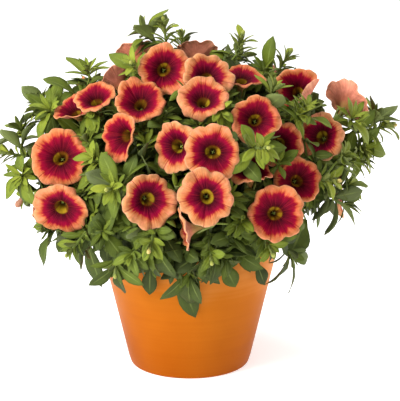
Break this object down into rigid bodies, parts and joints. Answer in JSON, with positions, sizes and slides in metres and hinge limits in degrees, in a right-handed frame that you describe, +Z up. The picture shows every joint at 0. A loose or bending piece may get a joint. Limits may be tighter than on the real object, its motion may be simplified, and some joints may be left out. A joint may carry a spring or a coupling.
{
  "type": "calibrachoa in a pot",
  "caption": "Bushy calibrachoa with orange and crimson funnel blooms and small leaves, growing in a tapered glazed pot with drainage holes.",
  "frame": {"origin": "centre of the pot's flat foot", "axes": "+Z up the pot's axis, -Y towards the plant's front"},
  "size_m": [0.2607, 0.2239, 0.23],
  "materials": {
    "pot_glaze": "satin orange glaze",
    "potting_soil": "matte, crumbly",
    "foliage": "soft, slightly downy",
    "petals": "soft matte"
  },
  "bodies": {
    "root": {"bloom_back": "petals", "bloom_back_high": "petals", "bloom_back_left": "petals", "bloom_back_left_high": "petals", "bloom_back_left_side": "petals", "bloom_back_low": "petals", "bloom_back_middle": "petals", "bloom_back_right": "petals", "bloom_back_right_high": "petals", "bloom_brow_left": "petals", "bloom_brow_right": "petals", "bloom_centre": "petals", "bloom_centre_left": "petals", "bloom_crown": "petals", "bloom_crown_right": "petals", "bloom_front": "petals", "bloom_front_left": "petals", "bloom_front_low": "petals", "bloom_front_right": "petals", "bloom_left": "petals", "bloom_left_brow": "petals", "bloom_left_high": "petals", "bloom_left_low": "petals", "bloom_left_shoulder": "petals", "bloom_left_side_high": "petals", "bloom_mid_right": "petals", "bloom_right": "petals", "bloom_right_brow": "petals", "bloom_right_low": "petals", "bloom_right_side": "petals", "bloom_right_top": "petals", "bloom_shade_left": "petals", "bloom_shade_right": "petals", "bloom_side_left_low": "petals", "bloom_side_right_low": "petals", "bloom_top_back": "petals", "bloom_top_back_left": "petals", "bloom_top_edge": "petals", "pot": "pot_glaze", "soil": "potting_soil", "stem_back": "foliage", "stem_back_left": "foliage", "stem_back_right": "foliage", "stem_back_top": "foliage", "stem_front_left": "foliage", "stem_front_right": "foliage", "stem_left": "foliage", "stem_left_upper": "foliage", "stem_low_back_left": "foliage", "stem_low_front": "foliage", "stem_low_left": "foliage", "stem_low_middle": "foliage", "stem_low_right": "foliage", "stem_right": "foliage", "stem_right_lower": "foliage", "stem_right_upper": "foliage", "stem_top_left": "foliage", "stem_top_right": "foliage"}
  },
  "joints": []
}
